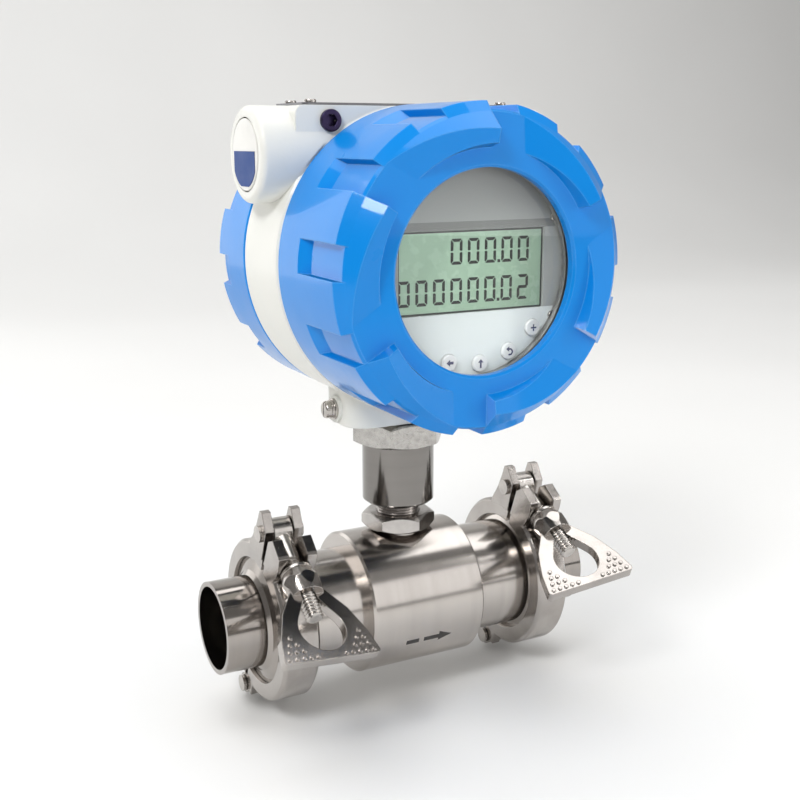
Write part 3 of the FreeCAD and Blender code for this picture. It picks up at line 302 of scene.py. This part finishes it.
def liquid_crystal():
    """Green LCD ground, with a painted reflection that makes it lighter towards its upper left."""
    s = Shader("liquid crystal")
    place = s.split()
    # painted reflection: the colour runs lighter towards the upper left
    slope = s.maths("SUBTRACT", s.maths("SUBTRACT", place["Z"], centre_z), place["X"])
    drift = s.span(s.noise(s.place, 22.0, 2.0), -0.02, 0.02)
    fade = s.span(slope, 0.0, 1.0, -centre_x - LCD_SHEEN_HALF, -centre_x + LCD_SHEEN_HALF)
    fade = s.maths("ADD", fade, drift)
    s.colour(s.ramp(fade, [(0.05, (0.285, 0.42, 0.305)), (0.95, (0.46, 0.66, 0.50))]))
    s.roughness(s.span(s.noise(s.place, 300.0, 2.0), 0.22, 0.30, 0.3, 0.7))
    s.normal(s.bump(s.noise(s.place, 1500.0, 1.0), 0.03, 0.0001))
    return s.material


# ------------------------------------------------------------------ materials on the solids
def paint_node(names, material):
    for name in names:
        data = nodes[name].data
        data.materials.clear()
        data.materials.append(material)


def both_clamps(*pieces):
    return [f"{end}_clamp_{piece}" for end in ("inlet", "outlet") for piece in pieces]


# the third colour of each enamel is the highlight painted along its edges
blue = enamel("blue enamel", (0.000, 0.236, 0.700), (0.000, 0.218, 0.670), (0.09, 0.42, 0.92),
              0.32, 0.08, 0.50)
ivory = enamel("ivory enamel", (0.79, 0.79, 0.745), (0.755, 0.755, 0.71), (0.84, 0.84, 0.80),
               0.34, 0.18, 0.25)
paint_node(["front_cover", "back_cover"], blue)
paint_node(["housing_body"], ivory)

paint_node(["flow_body"], turned("turned steel", (0.53, 0.495, 0.465), 0.17, "X"))
# the ferrules' steel is toned darker as a painted dark reflection
paint_node(["inlet_ferrule", "outlet_ferrule"], turned("polished steel with painted dark reflection", (0.38, 0.35, 0.325), 0.11, "X", 1500.0))
paint_node(["amplifier_sleeve"], turned("sleeve steel", (0.24, 0.228, 0.216), 0.13, "Z", 3200.0))
paint_node(["pickup_body"], turned("thread steel", (0.56, 0.53, 0.51), 0.24, "Z"))
paint_node(["stem_adaptor"], cast("forged steel", (0.50, 0.485, 0.465), 0.24, 1400.0, 420.0, 0.40))
paint_node(["lock_nut"], cast("nut steel", (0.52, 0.495, 0.475), 0.18, 1800.0, 160.0, 0.08))
paint_node(both_clamps("rear_half", "front_half", "wing_nut"),
           cast("cast steel", (0.46, 0.43, 0.405), 0.17, 900.0, 70.0, 0.05))
paint_node(both_clamps("swing_bolt", "nut_washer")
           + ["clamp_hinge_pins", "clamp_bolt_pins", "ground_screw", "ground_washers", "nameplate_screws",
              "panel_screws", "terminal_screws"],
           cast("bright steel", (0.56, 0.53, 0.50), 0.22, 2200.0, 260.0, 0.06))
paint_node(["turbine_rotor", "rotor_shaft", "inlet_flow_guide", "outlet_flow_guide", "retaining_rings"],
           cast("turbine steel", (0.58, 0.58, 0.57), 0.30, 1500.0, 200.0, 0.1))
paint_node(["window_retaining_ring"], cast("ring alloy", (0.50, 0.51, 0.50), 0.38, 1300.0, 300.0, 0.3))
paint_node(["pickup_magnet"], cast("magnet", (0.22, 0.22, 0.24), 0.40))
paint_node(["board_posts"], cast("post brass", (0.72, 0.52, 0.22), 0.28, 1800.0, 200.0, 0.1))
paint_node(["lock_screw"], cast("blackened steel", (0.045, 0.035, 0.085), 0.30, 1500.0, 300.0, 0.2))
paint_node(["nameplate"], cast("label alloy", (0.20, 0.20, 0.21), 0.36, 2500.0, 90.0, 0.1))

paint_node(["shaft_bushes"], moulded("bush carbon", (0.03, 0.03, 0.03), 0.5))
paint_node(["inlet_gasket", "outlet_gasket"], moulded("ptfe", (0.80, 0.80, 0.77), 0.45))
paint_node(["front_cover_o_ring", "back_cover_o_ring", "plug_seal", "stem_seal"],
           moulded("seal rubber", (0.012, 0.018, 0.055), 0.55))
paint_node(["pickup_coil"], moulded("copper winding", (0.48, 0.16, 0.05), 0.35, 900.0, 0.4, 0.4))
paint_node(["pickup_leads"], moulded("lead red", (0.45, 0.02, 0.02), 0.4))
paint_node(["display_can"], moulded("can grey", (0.30, 0.31, 0.30), 0.5, 500.0, 0.6))
paint_node(["display_board", "terminal_board"], moulded("solder mask", (0.01, 0.16, 0.06), 0.3, 700.0, 0.1, 0.4))
paint_node(["terminal_block"], moulded("terminal green", (0.02, 0.28, 0.11), 0.4))
paint_node(["key_1", "key_2", "key_3", "key_4"], moulded("key film", (0.80, 0.82, 0.82), 0.32, 400.0, 0.05, 0.3))
paint_node(["cable_plug"], moulded("plug ivory", (0.78, 0.77, 0.73), 0.33, 500.0, 0.12, 0.3))
paint_node(["plug_insert"], moulded("plug blue", (0.014, 0.060, 0.25), 0.42, 500.0, 0.05, 0.0, 0.15))
paint_node(["window_glass"], window_glass())
paint_node(["display_panel"], display_film())
paint_node(["lcd_glass"], liquid_crystal())

# the glass lets the lamps reach the display, and the steel is kept free of blue reflections
nodes["window_glass"].visible_shadow = False
for name in ("front_cover", "back_cover"):
    nodes[name].visible_glossy = False


# ------------------------------------------------------------------ printed marks, and a painted shadow round the LCD
def mark_piece(name, verts, faces, body, material):
    mesh = bpy.data.meshes.new(name)
    mesh.from_pydata(verts, [], faces)
    mesh.materials.append(material)
    mesh.validate()
    piece = bpy.data.objects.new(name, mesh)
    bpy.context.scene.collection.objects.link(piece)
    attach(piece, body)


def flat_piece(name, polygons, y, thick, body, material):
    """Thin raised shapes, given as (x, z) outlines, standing on a plane that faces -Y."""
    verts, faces = [], []
    for outline in polygons:
        first = len(verts)
        count = len(outline)
        verts += [(x, y - thick, z) for x, z in outline] + [(x, y, z) for x, z in outline]
        faces.append([first + k for k in range(count)])
        faces.append([first + count + k for k in reversed(range(count))])
        for k in range(count):
            after = (k + 1) % count
            faces.append([first + k, first + count + k, first + count + after, first + after])
    mark_piece(name, verts, faces, body, material)


def wrapped_piece(name, outlines, centre, radius, lean, thick, body, material, steps=6):
    """Thin marks bent round a pipe along X; outlines are (along, around) from a point that leans down."""
    verts, faces = [], []
    for (x0, s0), (x1, s1), (x2, s2), (x3, s3) in outlines:
        first = len(verts)
        for k in range(steps + 1):
            f = k / steps
            for x, s in ((x0 + (x3 - x0) * f, s0 + (s3 - s0) * f), (x1 + (x2 - x1) * f, s1 + (s2 - s1) * f)):
                angle = s / radius - lean
                verts += [(centre.x + x, centre.y - r * math.cos(angle), centre.z + r * math.sin(angle))
                          for r in (radius, radius + thick)]
        for k in range(steps):
            a, b = first + 4 * k, first + 4 * k + 4
            faces += [(a + 1, a + 3, b + 3, b + 1), (a, b, b + 2, a + 2), (a, a + 1, b + 1, b),
                      (a + 2, b + 2, b + 3, a + 3)]
        last = first + 4 * steps
        faces += [(first, first + 2, first + 3, first + 1), (last, last + 1, last + 3, last + 2)]
    mark_piece(name, verts, faces, body, material)


SEGMENTS = {"0": "abcdef", "2": "abged"}      # lit bars of each digit, lettered as usual
UPRIGHTS = {"b": (1, 1), "c": (1, -1), "e": (-1, -1), "f": (-1, 1)}


def seven_segment(digit, cx, cz):
    """Outlines of the lit bars of one seven-segment digit."""
    lit = SEGMENTS[digit]
    t = DIGIT_STROKE
    gap = t * 0.18
    w = DIGIT_WIDE / 2
    h = DIGIT_HIGH / 2
    bars = []
    for key, sign in (("a", 1), ("d", -1)):
        if key in lit:
            z = cz + sign * h
            bars.append([(cx - w + t * 0.6, z), (cx + w - t * 0.6, z), (cx + w - t * 0.35, z - sign * t * 0.25),
                         (cx + w - t - gap, z - sign * t), (cx - w + t + gap, z - sign * t),
                         (cx - w + t * 0.35, z - sign * t * 0.25)])
    if "g" in lit:
        bars.append([(cx - w + gap * 2, cz), (cx - w + t * 0.7, cz + t / 2), (cx + w - t * 0.7, cz + t / 2),
                     (cx + w - gap * 2, cz), (cx + w - t * 0.7, cz - t / 2), (cx - w + t * 0.7, cz - t / 2)])
    for key, (side, up) in UPRIGHTS.items():
        if key in lit:
            x = cx + side * w
            bars.append([(x, cz + up * (h - t * 0.75)), (x, cz + up * gap * 2),
                         (x - side * t * 0.5, cz + up * gap), (x - side * t, cz + up * gap * 2.5),
                         (x - side * t, cz + up * (h - t - gap * 1.5)),
                         (x - side * t * 0.3, cz + up * (h - t * 0.45))])
    return bars


def reading(text, right, z):
    """Bars and points of one row of digits, set from the right."""
    shapes = []
    x = right - DIGIT_WIDE / 2
    half = DIGIT_STROKE / 2
    foot = z - DIGIT_HIGH / 2
    for char in reversed(text):
        if char == ".":
            px = x + DIGIT_PITCH / 2 + DIGIT_WIDE * 0.02
            shapes.append([(px - half, foot), (px + half, foot), (px + half, foot + DIGIT_STROKE),
                           (px - half, foot + DIGIT_STROKE)])
        else:
            shapes += seven_segment(char, x, z)
            x -= DIGIT_PITCH
    return shapes


def frame_bars(low, high, width):
    """Four bars that line the inside of a rectangular opening."""
    return [[(low.x, high.z - width), (high.x, high.z - width), (high.x, high.z), (low.x, high.z)],
            [(low.x, low.z), (high.x, low.z), (high.x, low.z + width), (low.x, low.z + width)],
            [(low.x, low.z + width), (low.x + width, low.z + width), (low.x + width, high.z - width),
             (low.x, high.z - width)],
            [(high.x - width, low.z + width), (high.x, low.z + width), (high.x, high.z - width),
             (high.x - width, high.z - width)]]


def arc(radius, inner, start, end, steps=16):
    """Quads of a flat arc about the origin, between two angles in degrees."""
    angles = [math.radians(start + (end - start) * k / steps) for k in range(steps + 1)]
    return [[(inner * math.cos(a), inner * math.sin(a)), (radius * math.cos(a), radius * math.sin(a)),
             (radius * math.cos(b), radius * math.sin(b)), (inner * math.cos(b), inner * math.sin(b))]
            for a, b in zip(angles, angles[1:])]


# the marks on the keys, about each key's centre in key units: back, up, return and a plus sign
KEY_MARKS = {
    1: [[(-2, 0), (0, 1.8), (0, 0.7), (2, 0.7), (2, -0.7), (0, -0.7), (0, -1.8)]],
    2: [[(0, 2.4), (-1.6, 0.6), (-0.5, 0.6), (-0.5, -2.2), (0.5, -2.2), (0.5, 0.6), (1.6, 0.6)]],
    3: [[(x, z - 0.3) for x, z in quad] for quad in arc(1.9, 1.1, -120, 110)]
       + [[(-2.2, 1.2), (-0.4, 2.6), (-0.4, -0.2)]],
    4: [[(-1.7, -0.4), (1.7, -0.4), (1.7, 0.4), (-1.7, 0.4)],
        [(-0.4, 0.5), (0.4, 0.5), (0.4, 1.8), (-0.4, 1.8)],
        [(-0.4, -1.8), (0.4, -1.8), (0.4, -0.5), (-0.4, -0.5)]],
}

digits = (reading("000.00", centre_x + DIGITS_RIGHT, centre_z + UPPER_ROW)
          + reading("000000.02", centre_x + DIGITS_RIGHT, centre_z + LOWER_ROW))
flat_piece("lcd_digits", digits, lcd_low.y, DIGIT_THICK, "meter",
           moulded("digit black", (0.012, 0.016, 0.014), 0.4, 900.0, 0.02))
# a black frame round the LCD, painted as the shadow that its recess casts
flat_piece("lcd_recess_shadow", frame_bars(lcd_low, lcd_high, RECESS_SHADOW_WIDE), lcd_low.y, RECESS_SHADOW_THICK, "meter",
           moulded("painted recess shadow", (0.010, 0.012, 0.012), 0.45, 900.0, 0.02))

navy = moulded("key print", (0.010, 0.012, 0.10), 0.4, 900.0, 0.02)
for index, outlines in KEY_MARKS.items():
    low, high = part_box(f"key_{index}")
    cx, cz = (low.x + high.x) / 2, (low.z + high.z) / 2
    marks = [[(cx + x * KEY_UNIT, cz + z * KEY_UNIT) for x, z in outline] for outline in outlines]
    flat_piece(f"key_{index}_mark", marks, low.y, MARK_THICK, f"key_{index}", navy)

# a plain dashed arrow on the flow body, in mm along and around it
body_low, body_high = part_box("flow_body")
ARROW = [[(-9, -0.9), (-4, -0.9), (-4, 0.9), (-9, 0.9)],
         [(-2, -0.9), (4, -0.9), (4, 0.9), (-2, 0.9)],
         [(4, -2.2), (9, -0.05), (9, 0.05), (4, 2.2)]]
wrapped_piece("flow_arrow", [[(x * MM, s * MM) for x, s in outline] for outline in ARROW],
              (body_low + body_high) / 2, (body_high.z - body_low.z) / 2, math.radians(ARROW_LEAN), MARK_THICK,
              "meter", moulded("etched mark", (0.035, 0.032, 0.030), 0.5, 900.0, 0.05))


# ------------------------------------------------------------------ floor, light and camera
def stage_material():
    s = Shader("studio floor")
    s.colour(s.ramp(s.noise(s.place, 2.0, 2.0), [(0.3, (0.80, 0.80, 0.79)), (0.7, (0.84, 0.84, 0.83))]))
    s.set(Roughness=0.75)
    return s.material


def sweep(width, front, back, height, radius, base, steps=12):
    """A floor that curves up into a backdrop."""
    outline = [(-front, base)]
    for k in range(steps + 1):
        a = math.radians(90 * k / steps)
        outline.append((back - radius + radius * math.sin(a), base + radius - radius * math.cos(a)))
    outline.append((back, base + height))
    verts = [(x, y, z) for y, z in outline for x in (-width, width)]
    faces = [(2 * k, 2 * k + 1, 2 * k + 3, 2 * k + 2) for k in range(len(outline) - 1)]
    mesh = bpy.data.meshes.new("studio_sweep")
    mesh.from_pydata(verts, [], faces)
    mesh.materials.append(stage_material())
    for polygon in mesh.polygons:
        polygon.use_smooth = True
    piece = bpy.data.objects.new("studio_sweep", mesh)
    bpy.context.scene.collection.objects.link(piece)
    piece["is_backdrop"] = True


def softbox(name, where, aim, wide, high, power):
    """A rectangular lamp aimed at a point; sizes in metres, power in watts."""
    data = bpy.data.lights.new(name, "AREA")
    data.shape = "RECTANGLE"
    data.size = wide
    data.size_y = high
    data.energy = power
    light = bpy.data.objects.new(name, data)
    light.location = where
    light.rotation_mode = "QUATERNION"
    light.rotation_quaternion = (Vector(aim) - Vector(where)).to_track_quat("-Z", "Y")
    bpy.context.scene.collection.objects.link(light)


sweep(2.6, 2.0, 1.6, 2.4, 0.6, cad_low.z - 0.001)

softbox("ceiling_softbox", (0.0, 0.35, 1.9), (0.0, 0.35, 0.0), 2.6, 1.6, 32.0)
softbox("key_softbox", (-0.66, -0.48, 0.84), middle, 0.30, 0.30, 6.6)
softbox("back_left_softbox", (-0.42, 0.92, 0.22), middle, 0.50, 0.90, 1.5)
softbox("right_softbox", (0.80, -0.55, 0.30), middle, 0.07, 1.0, 2.6)
softbox("front_softbox", (-0.15, -1.3, 0.45), middle, 0.9, 0.12, 0.9)
softbox("front_right_softbox", (0.50, -0.80, 0.34), (0.07, 0.0, 0.03), 0.50, 0.60, 1.0)

world = bpy.data.worlds.new("studio")
world.use_nodes = True
background = world.node_tree.nodes["Background"]
background.inputs["Color"].default_value = (0.96, 0.94, 0.92, 1)
background.inputs["Strength"].default_value = 0.26
bpy.context.scene.world = world

camera_data = bpy.data.cameras.new("camera")
camera_data.sensor_width = 36.0
camera_data.lens = 51.23
camera_data.clip_start = 0.01
camera_data.clip_end = 20.0
camera = bpy.data.objects.new("camera", camera_data)
camera.location = (-0.11296, -0.34934, 0.16259)
camera.rotation_euler = (math.radians(90 - 12.884), 0, math.radians(-27.943))
bpy.context.scene.collection.objects.link(camera)
bpy.context.scene.camera = camera
bpy.context.scene.view_settings.view_transform = "Standard"

low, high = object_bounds()
